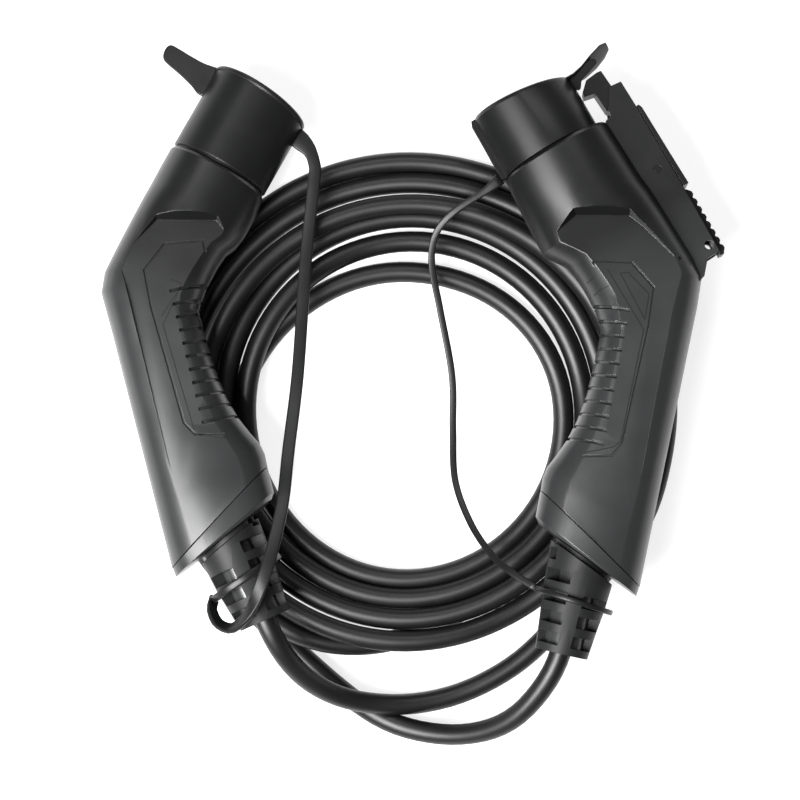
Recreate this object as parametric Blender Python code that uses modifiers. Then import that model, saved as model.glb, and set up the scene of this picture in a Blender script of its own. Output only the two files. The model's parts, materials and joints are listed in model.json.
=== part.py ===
"""Electric vehicle charging cable: a coiled cable with a pistol connector at each end.

Units are metres, +Z is up and the cable lies on the plane Z = 0. Each connector is
built in its own frame and placed by an empty: origin on the head's axis at the front
of the housing, +Y towards the vehicle, +X towards the outer side (the latch's side),
and the XY plane is the plane in which the two housing halves meet.
"""

import math

import bmesh
import bpy
from mathutils import Matrix, Vector

MM = 0.001

# Cable and coil
CABLE_R = 5.3
GAP = 0.3
COIL_CENTRE = (2.6, -2.6)
COIL_OUTER_R = 128.3
COIL_OUTER_LEAN = 1.8
COIL_INNER_R = 75.0
COIL_INNER_LEAN = 9.5
COIL_ONE_LAYER = 2 * CABLE_R + 0.3
COIL_TWO_LAYERS = 4 * CABLE_R + 0.3

# Connector heads
WALL = 3.0
FLAT_Z = 19.5
CAVITY_Z = FLAT_Z - WALL
SPLIT = 0.15
FACETS = 16
CAVITY_FACETS = 10

# Strain relief boots: the axis starts at BOOT_S down the back line and BOOT_W in from it
BOOT_S = 139.0
BOOT_W = 32.2
BOOT_END_R = 13.0
BOOT_BORE_R = CABLE_R + GAP
RING_R = 17.8

# The collar's lower edge, as distance along the back line and distance in from it
COLLAR_OUT = (147.4, 5.5)
COLLAR_IN = (123.2, 56.5)

# Type 1 nose, cap and latch
NOSE1_R = 21.9
CAP1_R = 25.9
NOSE1_FRONT = 24.4
PIVOT = (39.5, -34.0)
PIN_R = 2.0
LEVER_HALF = 5.2
CHANNEL_HALF = 6.3
CHANNEL_OUT = 9.3

# Type 2 nose and cap
NOSE2_R = 23.85
NOSE2_BORE_R = 21.4
NOSE2_FRONT = 40.1

SPEC = {
    "type1": {
        "place": (75.6, 122.6, 34.7),
        "turn": 29.5,
        "droop": 5.0,
        "flip": False,
        "bend": 40.5,
        "corner": (26.0, -99.4),
        "taper": 2.4,
        "lean": 2.2,
        "boot_end": 44.0,
        "ring": (17.6, 5.0),
    },
    "type2": {
        "place": (-90.7, 113.5, 31.2),
        "turn": -29.0,
        "droop": 6.4,
        "flip": True,
        "bend": 43.1,
        "corner": (22.6, -78.3),
        "taper": 1.5,
        "lean": 10.2,
        "boot_end": 41.2,
        "ring": (18.5, 9.5),
    },
}

# Head stations: outer point, inner point, half thickness, cavity half thickness
HEAD = {
    "type1": [
        ((29.6, 0.0), (-25.6, 0.0), 24.6, 22.4),
        ((31.4, -1.8), (-27.2, -1.8), 26.1, 22.4),
        ((32.0, -18.0), (-28.4, -18.0), 26.4, 22.2),
        ((32.6, -34.0), (-29.2, -34.0), 26.4, 16.9),
        ((33.0, -43.0), (-29.4, -42.6), 26.0, CAVITY_Z),
        ((33.2, -49.0), (-25.4, -48.4), 25.4, CAVITY_Z),
        ((33.4, -56.0), (-21.8, -53.6), 24.8, CAVITY_Z),
        ((33.7, -68.0), (-20.8, -61.0), 24.2, CAVITY_Z),
        ((34.1, -81.0), (-20.6, -69.0), 23.8, CAVITY_Z),
        ((33.0, -90.5), (-20.9, -75.5), 23.4, CAVITY_Z),
        ((23.8, -102.0), (-21.1, -79.6), 23.2, CAVITY_Z),
    ],
    "type2": [
        ((24.9, 0.0), (-25.1, 0.0), 24.8, 22.4),
        ((26.0, -1.8), (-26.4, -1.8), 26.1, 22.4),
        ((25.9, -12.0), (-27.6, -12.0), 26.3, 22.2),
        ((25.6, -22.0), (-27.7, -22.0), 26.3, 16.9),
        ((25.4, -30.0), (-26.6, -29.2), 26.0, CAVITY_Z),
        ((25.2, -38.0), (-24.2, -34.6), 25.4, CAVITY_Z),
        ((24.8, -50.0), (-23.6, -42.0), 24.6, CAVITY_Z),
        ((24.3, -62.0), (-23.8, -49.0), 24.0, CAVITY_Z),
        ((23.6, -72.0), (-24.2, -55.0), 23.6, CAVITY_Z),
        ((20.0, -81.5), (-25.0, -60.5), 23.3, CAVITY_Z),
    ],
}

# Grip stations: distance along the back line, distance along it of the inner point,
# width there, half thickness
GRIP = [
    (24.0, 24.0, 44.1, 22.9),
    (40.0, 40.0, 44.5, 22.4),
    (57.0, 56.0, 45.3, 22.2),
    (76.0, 70.0, 47.6, 22.2),
    (92.0, 80.0, 50.5, 22.3),
    (106.0, 88.5, 54.2, 22.4),
    (119.0, 95.0, 57.6, 22.4),
    (131.0, 100.5, 58.8, 22.3),
    (144.0, 107.0, 58.6, 22.0),
]

# Outline of the flat side face, with the ledge under the head. Numbers in the second
# list are (distance along the back line, width).
LEDGE = {
    "type1": [(-36.0, -46.0), (-20.0, -37.8), (-7.4, -35.1), (14.8, -48.2), (18.0, -56.1), (25.5, -82.0)],
    "type2": [(-40.0, -34.8), (-26.0, -29.3), (-13.4, -24.4), (11.8, -38.4), (16.0, -54.0), (16.6, -66.0)],
}
FACE_TAIL = [(12.0, 13.0), (165.0, 13.0), (165.0, 80.0), (20.0, 80.0)]

PANEL = [(-7.0, 55.0), (-9.8, 36.0), (0.5, 23.0), (19.0, 22.0), (78.0, 24.0), (85.0, 28.0), (88.0, 42.0), (86.5, 53.0)]
RIBS = 11
RIB_START = 13.0
RIB_PITCH = 6.6
RIB_WIDTH = 1.6
RIB_DEPTH = 1.1


def material(name, colour, rough):
    mat = bpy.data.materials.new(name)
    mat.use_nodes = True
    shader = mat.node_tree.nodes["Principled BSDF"]
    shader.inputs["Base Color"].default_value = (*colour, 1.0)
    shader.inputs["Roughness"].default_value = rough
    return mat


def start():
    for obj in list(bpy.data.objects):
        bpy.data.objects.remove(obj)
    groups = {}
    for name in ("ev_charging_cable", "cutters"):
        groups[name] = bpy.data.collections.new(name)
        bpy.context.scene.collection.children.link(groups[name])
    groups["cutters"].hide_render = True
    return groups


GROUPS = start()
LOOKS = {
    "shell": material("housing_plastic", (0.055, 0.058, 0.058), 0.55),
    "nose": material("nose_plastic", (0.03, 0.03, 0.03), 0.4),
    "rubber": material("cap_rubber", (0.035, 0.036, 0.036), 0.6),
    "boot": material("boot_rubber", (0.03, 0.03, 0.03), 0.6),
    "cable": material("cable_jacket", (0.02, 0.02, 0.021), 0.4),
    "brass": material("contact_metal", (0.75, 0.7, 0.6), 0.3),
    "insulator": material("insulator_plastic", (0.05, 0.05, 0.05), 0.5),
    "seal": material("seal_rubber", (0.25, 0.05, 0.03), 0.6),
    "steel": material("steel", (0.6, 0.6, 0.6), 0.35),
}


def add(name, mesh, look, parent, cutter=False):
    obj = bpy.data.objects.new(name, mesh)
    GROUPS["cutters" if cutter else "ev_charging_cable"].objects.link(obj)
    obj.parent = parent
    if cutter:
        obj.hide_render = True
        obj.display_type = "WIRE"
    else:
        mesh.materials.append(LOOKS[look])
    return obj


def mesh_from(name, points, faces):
    mesh = bpy.data.meshes.new(name)
    mesh.from_pydata([[c * MM for c in p] for p in points], [], faces)
    work = bmesh.new()
    work.from_mesh(mesh)
    bmesh.ops.recalc_face_normals(work, faces=work.faces)
    work.to_mesh(mesh)
    work.free()
    return mesh


def loft(name, rings):
    """A closed skin over rings of equally many points, with flat ends."""
    count = len(rings[0])
    points = [p for ring in rings for p in ring]
    faces = []
    for k in range(len(rings) - 1):
        for i in range(count):
            j = (i + 1) % count
            faces.append((k * count + i, k * count + j, (k + 1) * count + j, (k + 1) * count + i))
    faces.append(tuple(reversed(range(count))))
    faces.append(tuple(range((len(rings) - 1) * count, len(rings) * count)))
    return mesh_from(name, points, faces)


def prism(name, outline, low, high):
    """An outline in the XY plane, extruded from low to high along Z."""
    return loft(name, [[(x, y, low) for x, y in outline], [(x, y, high) for x, y in outline]])


def turned(name, profile, look, parent, steps=32, along_y=0.0, at=(0.0, 0.0)):
    """A closed profile of (radius, height) turned about the Y direction through at (x, z)."""
    mesh = bpy.data.meshes.new(name)
    points = [(r * MM, 0.0, h * MM) for r, h in profile]
    closed = all(r > 0 for r, _ in profile)
    edges = [(i, i + 1) for i in range(len(points) - 1)]
    if closed:
        edges.append((len(points) - 1, 0))
    mesh.from_pydata(points, edges, [])
    obj = add(name, mesh, look, parent, cutter=look is None)
    obj.location = (at[0] * MM, along_y * MM, at[1] * MM)
    obj.rotation_euler = (-math.pi / 2, 0.0, 0.0)
    screw = obj.modifiers.new("turn", "SCREW")
    screw.axis = "Z"
    screw.steps = steps
    screw.render_steps = steps
    screw.use_merge_vertices = True
    screw.merge_threshold = 0.00001
    screw.use_smooth_shade = False
    return obj


def rod(name, radius, length, look, parent, place, axis, steps=12):
    """A cylinder from place along axis, both in the parent's frame."""
    work = bmesh.new()
    bmesh.ops.create_cone(
        work, cap_ends=True, segments=steps, radius1=radius * MM, radius2=radius * MM, depth=length * MM
    )
    mesh = bpy.data.meshes.new(name)
    work.to_mesh(mesh)
    work.free()
    obj = add(name, mesh, look, parent, cutter=look is None)
    direction = Vector(axis).normalized()
    obj.rotation_mode = "QUATERNION"
    obj.rotation_quaternion = direction.to_track_quat("Z", "Y")
    obj.location = (Vector(place) + direction * length / 2) * MM
    return obj


def box(name, low, high, look, parent):
    outline = [(low[0], low[1]), (high[0], low[1]), (high[0], high[1]), (low[0], high[1])]
    return add(name, prism(name, outline, low[2], high[2]), look, parent, cutter=look is None)


def boolean(target, other, operation="DIFFERENCE"):
    modifier = target.modifiers.new(operation.lower(), "BOOLEAN")
    modifier.operation = operation
    modifier.solver = "EXACT"
    modifier.object = other


def superellipse(outer, inner, thick, steps, power=2.2):
    """Points round a section whose width runs from the inner to the outer point."""
    middle = Vector((*outer, 0.0)).lerp(Vector((*inner, 0.0)), 0.5)
    half = (Vector((*outer, 0.0)) - Vector((*inner, 0.0))) / 2
    ring = []
    for k in range(steps):
        a = 2 * math.pi * k / steps
        u = math.copysign(abs(math.cos(a)) ** (2 / power), math.cos(a))
        v = math.copysign(abs(math.sin(a)) ** (2 / power), math.sin(a))
        ring.append(middle + half * u + Vector((0, 0, thick * v)))
    return ring


def grip_point(spec, s, w):
    b = math.radians(spec["bend"])
    x = spec["corner"][0] - s * math.sin(b) - w * math.cos(b)
    y = spec["corner"][1] - s * math.cos(b) + w * math.sin(b)
    return (x, y)


def boot_point(spec, a, c):
    """A point in the boot's own directions: a along its axis, c in towards the grip."""
    lean = math.radians(spec["lean"])
    s = BOOT_S + a * math.cos(lean) - c * math.sin(lean)
    w = BOOT_W + a * math.sin(lean) + c * math.cos(lean)
    return grip_point(spec, s, w)


def boot_axis(spec):
    step = Vector(boot_point(spec, 1.0, 0.0)) - Vector(boot_point(spec, 0.0, 0.0))
    return (*step, 0.0)


def boot_top(spec, c):
    """How far along the boot's axis the collar's oblique face lies, at c."""
    lean = math.radians(spec["lean"])
    slope = (COLLAR_OUT[0] - COLLAR_IN[0]) / (COLLAR_IN[1] - COLLAR_OUT[1])
    reach = COLLAR_OUT[0] + 0.4 - BOOT_S - slope * (BOOT_W - COLLAR_OUT[1])
    reach -= c * (slope * math.cos(lean) - math.sin(lean))
    return reach / (math.cos(lean) + slope * math.sin(lean))


def stations(kind, spec):
    """Outer point, inner point, half thickness and cavity half thickness down the housing."""
    rows = list(HEAD[kind])
    for s_out, s_in, width, thick in GRIP:
        narrow = spec["taper"] * s_out / GRIP[-1][0]
        rows.append((grip_point(spec, s_out, narrow), grip_point(spec, s_in, width), thick, CAVITY_Z))
    return rows


def inset(outer, inner, by):
    o, i = Vector(outer), Vector(inner)
    step = (o - i).normalized() * by
    return tuple(o - step), tuple(i + step)


def power_at(y, thick):
    return 2.0 if thick > 26.05 or y > -3 else 2.25


def half_shell(name, kind, spec, side, parent):
    """One housing half: a trough between the outer skin and the cavity."""
    rings = []
    for outer, inner, thick, cavity in stations(kind, spec):
        power = power_at(outer[1], thick)
        skin = superellipse(outer, inner, thick, 2 * FACETS, power)[: FACETS + 1]
        o, i = inset(outer, inner, WALL)
        hollow = superellipse(o, i, cavity, 2 * CAVITY_FACETS, power)[: CAVITY_FACETS + 1]
        ring = []
        for p in skin + hollow[::-1]:
            ring.append((p.x, p.y, side * max(p.z, SPLIT)))
        rings.append(ring)
    return add(name, loft(name, rings), "shell", parent)


def face_cutter(kind, spec, side, parent):
    """Takes the housing's side down to a flat face, with a sloping ledge under the head."""
    tail = [grip_point(spec, s, w) for s, w in FACE_TAIL]
    low = LEDGE[kind] + tail
    count = len(LEDGE[kind])
    high = []
    for k, (x, y) in enumerate(low):
        rise = 4.5 if k < count else 0.0
        high.append((x + (rise * 0.7 if k > 2 else 0.0), y + (rise if k < 4 else 0.0)))
    rings = [
        [(x, y, side * FLAT_Z) for x, y in low],
        [(x, y, side * (FLAT_Z + 9.0)) for x, y in high],
    ]
    name = f"{kind}_face_cutter_{'p' if side > 0 else 'n'}"
    return add(name, loft(name, rings), None, parent, cutter=True)


def shrunk(outline, by):
    """The outline moved inwards by a constant distance."""
    count = len(outline)
    area = sum(
        outline[k][0] * outline[(k + 1) % count][1] - outline[(k + 1) % count][0] * outline[k][1]
        for k in range(count)
    )
    sign = 1 if area > 0 else -1
    result = []
    for k in range(count):
        a, b, c = (Vector(outline[(k + d) % count]) for d in (-1, 0, 1))
        n1 = Vector((-(b - a).y, (b - a).x)).normalized() * sign
        n2 = Vector((-(c - b).y, (c - b).x)).normalized() * sign
        bisector = (n1 + n2).normalized()
        result.append(tuple(b + bisector * (by / max(0.3, bisector.dot(n1)))))
    return result


def panel_cutter(kind, spec, side, parent):
    """A shallow groove round the grip panel."""
    outline = [grip_point(spec, s, w) for s, w in PANEL]
    inside = shrunk(outline, 1.0)
    count = len(outline)
    low, high = FLAT_Z - 0.8, FLAT_Z + 4.0
    points = [(x, y, side * low) for x, y in outline] + [(x, y, side * high) for x, y in outline]
    points += [(x, y, side * low) for x, y in inside] + [(x, y, side * high) for x, y in inside]
    faces = []
    for i in range(count):
        j = (i + 1) % count
        faces.append((i, j, count + j, count + i))
        faces.append((2 * count + i, 3 * count + i, 3 * count + j, 2 * count + j))
        faces.append((i, 2 * count + i, 2 * count + j, j))
        faces.append((count + i, count + j, 3 * count + j, 3 * count + i))
    name = f"{kind}_panel_cutter_{'p' if side > 0 else 'n'}"
    return add(name, mesh_from(name, points, faces), None, parent, cutter=True)


def rib_cutter(kind, spec, parent):
    """Grooves across the grip's inner edge, cut to one depth below the skin."""
    points, faces = [], []
    tilt = Vector(grip_point(spec, 1.0, 0.0)) - Vector(grip_point(spec, 0.0, 0.0))
    for k in range(RIBS):
        s = RIB_START + k * RIB_PITCH
        corners = [(s, 33.0), (s, 75.0), (s + RIB_WIDTH, 75.0), (s + RIB_WIDTH, 33.0)]
        flat = [grip_point(spec, a, b) for a, b in corners]
        base = len(points)
        points += [(x, y, -30.0) for x, y in flat] + [(x, y, 30.0) for x, y in flat]
        faces += [tuple(base + i for i in f) for f in ((0, 1, 2, 3), (7, 6, 5, 4))]
        faces += [(base + i, base + 4 + i, base + 4 + (i + 1) % 4, base + (i + 1) % 4) for i in range(4)]
    name = f"{kind}_rib_cutter"
    cutter = add(name, mesh_from(name, points, faces), None, parent, cutter=True)
    rings = []
    for outer, inner, thick, cavity in stations(kind, spec)[6:]:
        o, i = inset(outer, inner, RIB_DEPTH)
        ring = superellipse(o, i, thick - RIB_DEPTH, 16, 2.25)
        top = FLAT_Z - RIB_DEPTH
        rings.append([(p.x, p.y, max(-top, min(top, p.z))) for p in ring])
    core = add(f"{kind}_rib_core", loft(f"{kind}_rib_core", rings), None, parent, cutter=True)
    boolean(cutter, core)
    return cutter


def housing(kind, spec, parent):
    ribs = rib_cutter(kind, spec, parent)
    halves = {}
    for side in (1, -1):
        up = (side > 0) != spec["flip"]
        name = f"{kind}_housing_{'upper' if up else 'lower'}"
        shell = half_shell(name, kind, spec, side, parent)
        boolean(shell, face_cutter(kind, spec, side, parent))
        boolean(shell, panel_cutter(kind, spec, side, parent))
        boolean(shell, ribs)
        halves["upper" if up else "lower"] = (shell, side)
    return halves


def collar(kind, spec, parent):
    """The oblique ring that closes the handle round the boot."""
    narrow = spec["taper"]
    s_out, s_in, w_in, _ = GRIP[-1]
    rings = []
    for outer, inner, thick in (
        ((s_out + 0.4, narrow + 0.3), (s_in + 0.4, w_in), 20.6),
        ((COLLAR_OUT[0] + 1.2, narrow + 0.8), (COLLAR_IN[0] - 3.2, w_in), 20.6),
        (COLLAR_OUT, COLLAR_IN, 19.8),
    ):
        rings.append(superellipse(grip_point(spec, *outer), grip_point(spec, *inner), thick, 28, 2.6))
    ring = add(f"{kind}_end_collar", loft(f"{kind}_end_collar", rings), "shell", parent)
    start = (*boot_point(spec, -60.0, 0.0), 0.0)
    boolean(ring, rod(f"{kind}_collar_bore", 9.0, 90.0, None, parent, start, boot_axis(spec), 20))
    return ring


def boot(kind, spec, parent):
    """The strain relief: a tapered tube under an oblique neck, with a lattice of windows."""
    end = spec["boot_end"]
    rows = (
        (boot_top(spec, -14.2), -14.2, boot_top(spec, 15.0), 15.0, 15.6),
        (boot_top(spec, -14.2) + 2.2, -14.2, boot_top(spec, 15.0) + 2.2, 15.0, 15.6),
        (boot_top(spec, -16.6) + 2.6, -16.6, boot_top(spec, 17.2) + 2.6, 17.2, 17.6),
        (boot_top(spec, -16.6) + 4.6, -16.6, boot_top(spec, 17.0) + 6.6, 17.0, 17.4),
        (19.0, -15.9, 14.0, 15.9, 16.4),
        (28.0, -14.7, 27.0, 14.5, 15.0),
        (end, -BOOT_END_R, end, BOOT_END_R, BOOT_END_R),
    )
    rings = [
        superellipse(boot_point(spec, a0, c0), boot_point(spec, a1, c1), thick, 24, 2.0)
        for a0, c0, a1, c1, thick in rows
    ]
    body = add(f"{kind}_strain_relief", loft(f"{kind}_strain_relief", rings), "boot", parent)
    start = (*boot_point(spec, -30.0, 0.0), 0.0)
    boolean(body, rod(f"{kind}_boot_bore", BOOT_BORE_R, 90.0, None, parent, start, boot_axis(spec), 16))
    points, faces = [], []
    pitch, height, core = 10.0, 5.8, 9.4
    for row in range(5):
        middle_a = end - 6.6 - pitch * row
        if row < 3:
            windows = [(a, 31.0) for a in (45.0, 135.0, 225.0, 315.0)]
        elif row == 3:
            windows = [(45.0, 31.0), (315.0, 31.0)]
        else:
            windows = [(26.0, 13.0), (334.0, 13.0)]
        for middle, half in windows:
            base = len(points)
            for a in (middle_a - height / 2, middle_a + height / 2):
                for radius, angle in ((core, -half), (core, half), (26.0, half), (26.0, -half)):
                    way = math.radians(middle + angle)
                    x, y = boot_point(spec, a, radius * math.cos(way))
                    points.append((x, y, radius * math.sin(way)))
            faces += [tuple(base + i for i in f) for f in ((0, 1, 2, 3), (7, 6, 5, 4))]
            faces += [(base + i, base + 4 + i, base + 4 + (i + 1) % 4, base + (i + 1) % 4) for i in range(4)]
    name = f"{kind}_boot_windows"
    boolean(body, add(name, mesh_from(name, points, faces), None, parent, cutter=True))
    return body


def clamp(kind, spec, parent):
    """Two-lobed clamp that grips the cable where it enters the handle."""
    flat = [boot_point(spec, a, c) for a, c in ((-47.5, -13.0), (-38.5, -13.0), (-38.5, 13.0), (-47.5, 13.0))]
    block = add(f"{kind}_cable_clamp", prism(f"{kind}_cable_clamp", flat, -9.0, 9.0), "insulator", parent)
    start = (*boot_point(spec, -53.0, 0.0), 0.0)
    hole = rod(f"{kind}_clamp_bore", BOOT_BORE_R, 20.0, None, parent, start, boot_axis(spec), 16)
    boolean(block, hole)
    return block


def screw(name, place, direction, parent):
    """A pan head screw, pointing into the housing."""
    head = rod(name, 2.6, 1.3, "steel", parent, place, direction, 12)
    start = Vector(place) + Vector(direction) * 1.0
    shank = rod(f"{name}_shank", 1.3, 9.0, None, parent, start, direction, 10)
    boolean(head, shank, "UNION")
    return head


def housing_screws(kind, spec, shell, side, parent):
    for k, (s, w) in enumerate(((24.0, 30.0), (112.0, 30.0))):
        x, y = grip_point(spec, s, w)
        out = (x, y, side * (FLAT_Z + 4.0))
        inward = (0, 0, -side)
        boolean(shell, rod(f"{kind}_screw_seat_{k}", 3.0, 5.6, None, parent, out, inward, 14))
        boolean(shell, rod(f"{kind}_screw_hole_{k}", 1.6, 12.0, None, parent, out, inward, 10))
        place = (x, y, side * (FLAT_Z - 0.2))
        screw(f"{kind}_housing_screw_{k + 1}", place, inward, parent)


def carrier(kind, radius, flange, front, back, ways, parent):
    """The insulator that holds the contacts, with a hole for each way."""
    profile = [(0.0, front), (radius, front), (radius, -2.0), (flange, -2.0), (flange, -5.0), (radius, -5.0)]
    profile += [(radius, back), (0.0, back)]
    body = turned(f"{kind}_contact_carrier", profile, "insulator", parent, 24)
    for name, up, across, hole, contact in ways:
        place = (up, front + 2.0, across)
        boolean(
            body, rod(f"{kind}_way_{name}", hole, front - back + 4.0, None, parent, place, (0, -1, 0), 10)
        )
        if contact:
            place = (up, front - 5.0, across)
            rod(f"{kind}_contact_{name}", contact, front - back + 1.0, "brass", parent, place, (0, -1, 0), 10)
    return body


def lever_outline():
    """Side view of the latch lever: hook, arm, pivot boss and ribbed thumb pad."""
    front = [(26.9, 15.6), (27.5, 18.2), (31.9, 22.5), (38.3, 23.3), (40.6, 23.0), (41.4, 12.0), (41.6, -26.0)]
    rise = [(44.2, -30.5), (45.0, -40.0), (45.4, -47.6), (47.6, -49.4)]
    pad = []
    bumps = 8
    step = (85.0 - 50.0) / bumps
    for k in range(bumps):
        y = -50.0 - k * step
        pad += [(48.3, y - 0.2), (49.3, y - 1.4), (49.3, y - 3.0), (48.3, y - step + 0.2)]
    back = [(47.6, -86.0), (45.5, -85.8), (45.4, -74.0), (42.4, -56.0), (37.0, -40.0), (36.2, -28.0)]
    arm = [(35.6, -2.0), (35.4, 1.2), (33.0, 4.4), (32.4, 14.6)]
    return front + rise + pad + back + arm


def latch(spec, halves, parent):
    shell_sides = {side: shell for shell, side in halves.values()}
    wall = [
        (29.6, -0.6),
        (32.9, 0.3),
        (34.1, 4.6),
        (39.5, 13.4),
        (45.8, 12.8),
        (46.2, -1.2),
        (46.2, -47.4),
        (45.6, -84.0),
        (38.8, -84.4),
        (33.2, -91.0),
        (27.5, -93.0),
    ]
    hole = rod("latch_padlock_hole", 2.3, 40.0, None, parent, (42.9, -78.9, -20.0), (0, 0, 1), 28)
    pin_hole = rod("latch_pin_hole", PIN_R + 0.05, 40.0, None, parent, (*PIVOT, -20.0), (0, 0, 1), 16)
    for side, shell in shell_sides.items():
        low, high = sorted((side * CHANNEL_HALF, side * CHANNEL_OUT))
        name = f"latch_channel_wall_{'p' if side > 0 else 'n'}"
        plate = add(name, prism(name, wall, low, high), None, parent, cutter=True)
        boolean(shell, plate, "UNION")
        boolean(shell, hole)
        boolean(shell, pin_hole)
    lever = add("latch_lever", prism("latch_lever", lever_outline(), -LEVER_HALF, LEVER_HALF), "shell", parent)
    lever_bore = rod("latch_lever_bore", PIN_R + 0.3, 40.0, None, parent, (*PIVOT, -20.0), (0, 0, 1), 16)
    boolean(lever, lever_bore)
    rod("latch_pivot_pin", PIN_R - 0.05, 2 * CHANNEL_OUT, "steel", parent, (*PIVOT, -CHANNEL_OUT), (0, 0, 1), 16)
    cover = [(46.5, -1.5), (47.7, -1.6), (48.4, -3.5), (49.0, -31.8), (49.4, -47.4), (46.5, -47.4)]
    add("latch_cover", prism("latch_cover", cover, -CHANNEL_OUT, CHANNEL_OUT), "shell", parent)
    spring()
    box("latch_microswitch", (18.0, -40.0, -9.0), (24.5, -27.0, 9.0), "insulator", parent)


def spring():
    """Compression spring between the channel's floor and the lever's thumb pad."""
    parent = bpy.data.objects["type1_frame"]
    turns, low, high, radius = 4.0, 35.4, 41.9, 2.3
    points = []
    count = 40
    for k in range(count + 1):
        a = 2 * math.pi * turns * k / count
        x = low + (high - low) * k / count
        points.append((x, -58.0 + radius * math.cos(a), radius * math.sin(a)))
    tube("latch_spring", points, 0.4, "steel", parent, 1)


def tube(name, points, radius, look, parent, resolution=2):
    """A round tube along points, closed at its ends, as a mesh."""
    curve = bpy.data.curves.new(name, "CURVE")
    curve.dimensions = "3D"
    curve.bevel_depth = radius * MM
    curve.bevel_resolution = resolution
    curve.use_fill_caps = True
    line = curve.splines.new("POLY")
    line.points.add(len(points) - 1)
    for place, p in zip(line.points, points):
        place.co = (*(c * MM for c in p), 1.0)
    guide = bpy.data.objects.new(f"{name}_line", curve)
    GROUPS["cutters"].objects.link(guide)
    bpy.context.view_layer.update()
    mesh = bpy.data.meshes.new_from_object(guide.evaluated_get(bpy.context.evaluated_depsgraph_get()))
    bpy.data.objects.remove(guide)
    mesh.name = name
    work = bmesh.new()
    work.from_mesh(mesh)
    bmesh.ops.remove_doubles(work, verts=work.verts, dist=1e-6)
    bmesh.ops.recalc_face_normals(work, faces=work.faces)
    work.to_mesh(mesh)
    work.free()
    mesh.materials.clear()
    return add(name, mesh, look, parent)


def cap_one(parent):
    """Sleeve cap: shorter on the latch's side, with a key rib and a leaf-shaped tab."""
    rings = []
    length_in, length_out = 34.6, 28.6

    def front(x, trim):
        return length_in + (length_out - length_in) * (x + CAP1_R) / (2 * CAP1_R) - trim

    for inset_by, trim in ((0.0, None), (0.0, 2.4), (0.9, 0.7), (2.6, 0.0)):
        r = CAP1_R - inset_by
        ring = []
        for k in range(36):
            a = 2 * math.pi * k / 36
            x, z = r * math.cos(a), r * math.sin(a)
            y = GAP if trim is None else front(x, trim)
            ring.append((x, y, z))
        rings.append(ring)
    body = add("type1_dust_cap", loft("type1_dust_cap", rings), "rubber", parent)
    rib = [(-24.5, GAP), (-28.3, GAP), (-28.3, 31.0), (-27.2, 33.6), (-24.5, 33.6)]
    boolean(body, add("cap_key_rib", prism("cap_key_rib", rib, -1.8, 1.8), None, parent, True), "UNION")
    leaf = []
    for x, y, thick, half, twist in (
        (20.0, 27.2, 3.4, 12.5, 0.0),
        (27.5, 27.0, 2.8, 11.0, 0.05),
        (33.4, 27.6, 2.4, 9.5, 0.17),
        (40.6, 29.8, 2.2, 9.5, 0.25),
        (46.6, 32.0, 2.0, 8.2, 0.27),
        (50.2, 33.2, 1.6, 4.6, 0.27),
    ):
        ring = []
        for k in range(12):
            a = 2 * math.pi * k / 12
            z = half * math.cos(a)
            lift = thick / 2 * math.sin(a)
            ring.append((x - 0.34 * (lift + twist * z), y + 0.94 * (lift + twist * z), z))
        leaf.append(ring)
    boolean(body, add("cap_leaf", loft("cap_leaf", leaf), None, parent, True), "UNION")
    hollow = NOSE1_R + GAP
    rings = []
    for k_ring in range(2):
        ring = []
        for k in range(32):
            a = 2 * math.pi * k / 32
            x, z = hollow * math.cos(a), hollow * math.sin(a)
            ring.append((x, -3.0 if k_ring == 0 else front(x, 3.4), z))
        rings.append(ring)
    boolean(body, add("cap_hollow", loft("cap_hollow", rings), None, parent, True))
    return body


def cap_two(parent):
    """Disc cap with a stub that plugs into the nose and a pull tab in the disc's plane."""
    stub = NOSE2_BORE_R - GAP
    body = turned(
        "type2_dust_cap",
        [
            (0.0, 44.4),
            (14.0, 44.0),
            (23.5, 43.2),
            (26.6, 42.2),
            (26.6, 40.7),
            (25.8, 40.4),
            (stub, 40.4),
            (stub, 28.5),
            (stub - 2.6, 28.5),
            (stub - 2.6, 39.6),
            (0.0, 39.6),
        ],
        "rubber",
        parent,
        40,
    )
    side = [(12.0, 21.0), (22.0, 18.5), (30.0, 16.2), (40.0, 15.0), (48.0, 14.4), (51.0, 13.2), (52.2, 9.5)]
    outline = side + [(x, -z) for x, z in reversed(side)]
    rings = []
    for y in (40.7, 43.0):
        rings.append([(x, y, z) for x, z in outline])
    boolean(body, add("cap_tab", loft("cap_tab", rings), None, parent, True), "UNION")
    return body


def nose(kind, radius, bore, front, rear, neck, parent):
    """The tube that goes into the vehicle, with a groove for its seal behind the shoulder."""
    profile = [
        (bore, front),
        (radius - 0.6, front),
        (radius, front - 0.8),
        (radius, 0.4),
        (neck, 0.4),
        (neck, -4.0),
        (neck - 1.4, -4.0),
        (neck - 1.4, -6.2),
        (neck, -6.2),
        (neck, rear),
        (neck - 3.2, rear),
        (neck - 3.2, -1.0),
        (bore, -0.6),
    ]
    turned(f"{kind}_nose", profile, "nose", parent, 32)
    seal = [(neck + 0.2, -4.2), (neck + 0.2, -6.0), (neck - 1.1, -6.0), (neck - 1.1, -4.2)]
    turned(f"{kind}_seal_ring", seal, "seal", parent, 24)


def nose_one(parent):
    nose("type1", NOSE1_R, NOSE1_R - 2.5, NOSE1_FRONT, -13.0, 21.2, parent)
    ways = (
        ("l1", 6.8, -7.9, 2.6, 2.2),
        ("n", 6.8, 7.9, 2.6, 2.2),
        ("pe", -10.6, 0.0, 2.2, 1.8),
        ("cs", -5.6, -10.2, 1.6, 1.2),
        ("cp", -5.6, 10.2, 1.6, 1.2),
    )
    carrier("type1", 15.8, 17.7, NOSE1_FRONT - 1.0, -12.0, ways, parent)


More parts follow.
